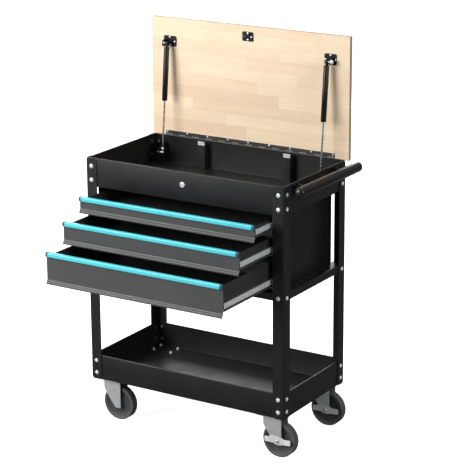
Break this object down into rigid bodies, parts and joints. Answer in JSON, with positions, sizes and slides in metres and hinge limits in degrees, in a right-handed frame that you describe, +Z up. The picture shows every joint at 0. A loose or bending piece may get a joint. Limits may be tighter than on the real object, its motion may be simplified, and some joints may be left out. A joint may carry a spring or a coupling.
{
  "type": "tool cart",
  "caption": "Wheeled tool cart with a lift-up wooden lid on gas struts over a tray, drawers on slides, an open bottom shelf, a push handle at one end and swivel casters.",
  "frame": {"origin": "middle of the bottom shelf's floor, on its upper face, midway between the posts", "axes": "+X towards the end with the push handle, -Y towards the drawer fronts, +Z up"},
  "size_m": [0.888, 0.768, 1.4178],
  "materials": {
    "body_black": "semi-gloss black powder coat",
    "drawer_grey": "semi-gloss dark grey powder coat",
    "pull_cyan": "gloss turquoise trim",
    "lid_wood": "clear-coated pale butcher block",
    "zinc_steel": "bright zinc plate",
    "rod_steel": "ground rod",
    "hinge_steel": "dark satin",
    "lock_chrome": "polished",
    "wheel_rubber": "matte dark grey"
  },
  "bodies": {
    "cart": {"top_tray": "body_black", "bottom_shelf": "body_black", "drawer_case": "body_black", "front_rail": "body_black", "side_rack_left": "body_black", "side_rack_right": "body_black", "push_handle": "body_black", "hinge_leaf_tray": "hinge_steel", "hinge_pin": "hinge_steel", "lock_housing": "lock_chrome", "post_front_left": "body_black", "post_front_right": "body_black", "post_rear_left": "body_black", "post_rear_right": "body_black", "strut_foot_left": "body_black", "strut_foot_right": "body_black", "slide_case_top_left": "zinc_steel", "slide_case_top_right": "zinc_steel", "slide_case_middle_left": "zinc_steel", "slide_case_middle_right": "zinc_steel", "slide_case_bottom_left": "zinc_steel", "slide_case_bottom_right": "zinc_steel", "caster_plate_front_left": "zinc_steel", "caster_plate_rear_left": "zinc_steel", "caster_plate_front_right": "zinc_steel", "caster_plate_rear_right": "zinc_steel"},
    "lid": {"lid_board": "lid_wood", "hinge_leaf_lid": "hinge_steel", "lid_strike": "body_black", "strut_bracket_left": "body_black", "strut_bracket_right": "body_black"},
    "lock_plug": {"lock_plug": "lock_chrome"},
    "strut_rod_left": {"strut_rod_left": "rod_steel"},
    "strut_tube_left": {"strut_tube_left": "body_black"},
    "lock_rod_left": {"lock_rod_left": "zinc_steel"},
    "strut_rod_right": {"strut_rod_right": "rod_steel"},
    "strut_tube_right": {"strut_tube_right": "body_black"},
    "lock_rod_right": {"lock_rod_right": "zinc_steel"},
    "drawer_top": {"drawer_top": "drawer_grey", "drawer_pull_top": "pull_cyan", "slide_drawer_top_left": "zinc_steel", "slide_drawer_top_right": "zinc_steel"},
    "drawer_middle": {"drawer_middle": "drawer_grey", "drawer_pull_middle": "pull_cyan", "slide_drawer_middle_left": "zinc_steel", "slide_drawer_middle_right": "zinc_steel"},
    "drawer_bottom": {"drawer_bottom": "drawer_grey", "drawer_pull_bottom": "pull_cyan", "slide_drawer_bottom_left": "zinc_steel", "slide_drawer_bottom_right": "zinc_steel"},
    "caster_front_left": {"caster_fork_front_left": "zinc_steel"},
    "wheel_front_left": {"caster_wheel_front_left": "wheel_rubber"},
    "caster_rear_left": {"caster_fork_rear_left": "zinc_steel"},
    "wheel_rear_left": {"caster_wheel_rear_left": "wheel_rubber"},
    "caster_front_right": {"caster_fork_front_right": "zinc_steel"},
    "wheel_front_right": {"caster_wheel_front_right": "wheel_rubber"},
    "caster_rear_right": {"caster_fork_rear_right": "zinc_steel"},
    "wheel_rear_right": {"caster_wheel_rear_right": "wheel_rubber"},
    "brake_pedal_front": {"brake_pedal_front": "zinc_steel"},
    "brake_pedal_rear": {"brake_pedal_rear": "zinc_steel"}
  },
  "joints": [
    {"name": "lid_hinge", "type": "hinge", "parent": "cart", "child": "lid", "pos_m": [0, 0.217, 0.8253], "axis": [1, 0, 0], "range_deg": [0, 90], "stiffness_Nm_per_rad": 8},
    {"name": "strut_pivot_left", "type": "hinge", "parent": "cart", "child": "strut_rod_left", "pos_m": [-0.332, 0.161, 0.772], "axis": [1, 0, 0], "range_deg": [0, 88.51]},
    {"name": "strut_slide_left", "type": "slide", "parent": "strut_rod_left", "child": "strut_tube_left", "axis": [0, 0.097, 0.9953], "range_m": [-0.109, 0]},
    {"name": "strut_pivot_right", "type": "hinge", "parent": "cart", "child": "strut_rod_right", "pos_m": [0.332, 0.161, 0.772], "axis": [1, 0, 0], "range_deg": [0, 88.51]},
    {"name": "strut_slide_right", "type": "slide", "parent": "strut_rod_right", "child": "strut_tube_right", "axis": [0, 0.097, 0.9953], "range_m": [-0.109, 0]},
    {"name": "drawer_slide_top", "type": "slide", "parent": "cart", "child": "drawer_top", "axis": [0, -1, 0], "range_m": [-0.107, 0.223]},
    {"name": "drawer_slide_middle", "type": "slide", "parent": "cart", "child": "drawer_middle", "axis": [0, -1, 0], "range_m": [-0.206, 0.124]},
    {"name": "drawer_slide_bottom", "type": "slide", "parent": "cart", "child": "drawer_bottom", "axis": [0, -1, 0], "range_m": [-0.307, 0.023]},
    {"name": "lock_turn", "type": "hinge", "parent": "cart", "child": "lock_plug", "pos_m": [0, -0.2117, 0.782], "axis": [0, 1, 0], "range_deg": [0, 90]},
    {"name": "lock_rod_slide_left", "type": "slide", "parent": "cart", "child": "lock_rod_left", "axis": [0, 0, -1], "range_m": [0, 0.01], "stiffness_N_per_m": 800, "springref_m": -0.006},
    {"name": "lock_rod_slide_right", "type": "slide", "parent": "cart", "child": "lock_rod_right", "axis": [0, 0, -1], "range_m": [0, 0.01], "stiffness_N_per_m": 800, "springref_m": -0.006},
    {"name": "caster_swivel_front_left", "type": "hinge", "parent": "cart", "child": "caster_front_left", "pos_m": [-0.339, -0.17, -0.0056], "axis": [0, 0, 1], "continuous": true},
    {"name": "wheel_spin_front_left", "type": "hinge", "parent": "caster_front_left", "child": "wheel_front_left", "pos_m": [-0.31, -0.17, -0.0915], "axis": [0, 1, 0], "continuous": true},
    {"name": "caster_swivel_rear_left", "type": "hinge", "parent": "cart", "child": "caster_rear_left", "pos_m": [-0.339, 0.17, -0.0056], "axis": [0, 0, 1], "continuous": true},
    {"name": "wheel_spin_rear_left", "type": "hinge", "parent": "caster_rear_left", "child": "wheel_rear_left", "pos_m": [-0.31, 0.17, -0.0915], "axis": [0, 1, 0], "continuous": true},
    {"name": "caster_swivel_front_right", "type": "hinge", "parent": "cart", "child": "caster_front_right", "pos_m": [0.339, -0.17, -0.0056], "axis": [0, 0, 1], "continuous": true},
    {"name": "wheel_spin_front_right", "type": "hinge", "parent": "caster_front_right", "child": "wheel_front_right", "pos_m": [0.368, -0.17, -0.0915], "axis": [0, 1, 0], "continuous": true},
    {"name": "caster_swivel_rear_right", "type": "hinge", "parent": "cart", "child": "caster_rear_right", "pos_m": [0.339, 0.17, -0.0056], "axis": [0, 0, 1], "continuous": true},
    {"name": "wheel_spin_rear_right", "type": "hinge", "parent": "caster_rear_right", "child": "wheel_rear_right", "pos_m": [0.368, 0.17, -0.0915], "axis": [0, 1, 0], "continuous": true},
    {"name": "brake_front", "type": "hinge", "parent": "caster_front_right", "child": "brake_pedal_front", "pos_m": [0.368, -0.17, -0.0915], "axis": [0, 1, 0], "range_deg": [-10, 10]},
    {"name": "brake_rear", "type": "hinge", "parent": "caster_rear_right", "child": "brake_pedal_rear", "pos_m": [0.368, 0.17, -0.0915], "axis": [0, 1, 0], "range_deg": [-10, 10]}
  ],
  "couplings": [
    {"joint": "strut_pivot_left", "follows": "lid_hinge", "ratio": 0.98279},
    {"joint": "strut_slide_left", "follows": "lid_hinge", "m_per_rad": -0.069353},
    {"joint": "strut_pivot_right", "follows": "lid_hinge", "ratio": 0.98279},
    {"joint": "strut_slide_right", "follows": "lid_hinge", "m_per_rad": -0.069353}
  ]
}
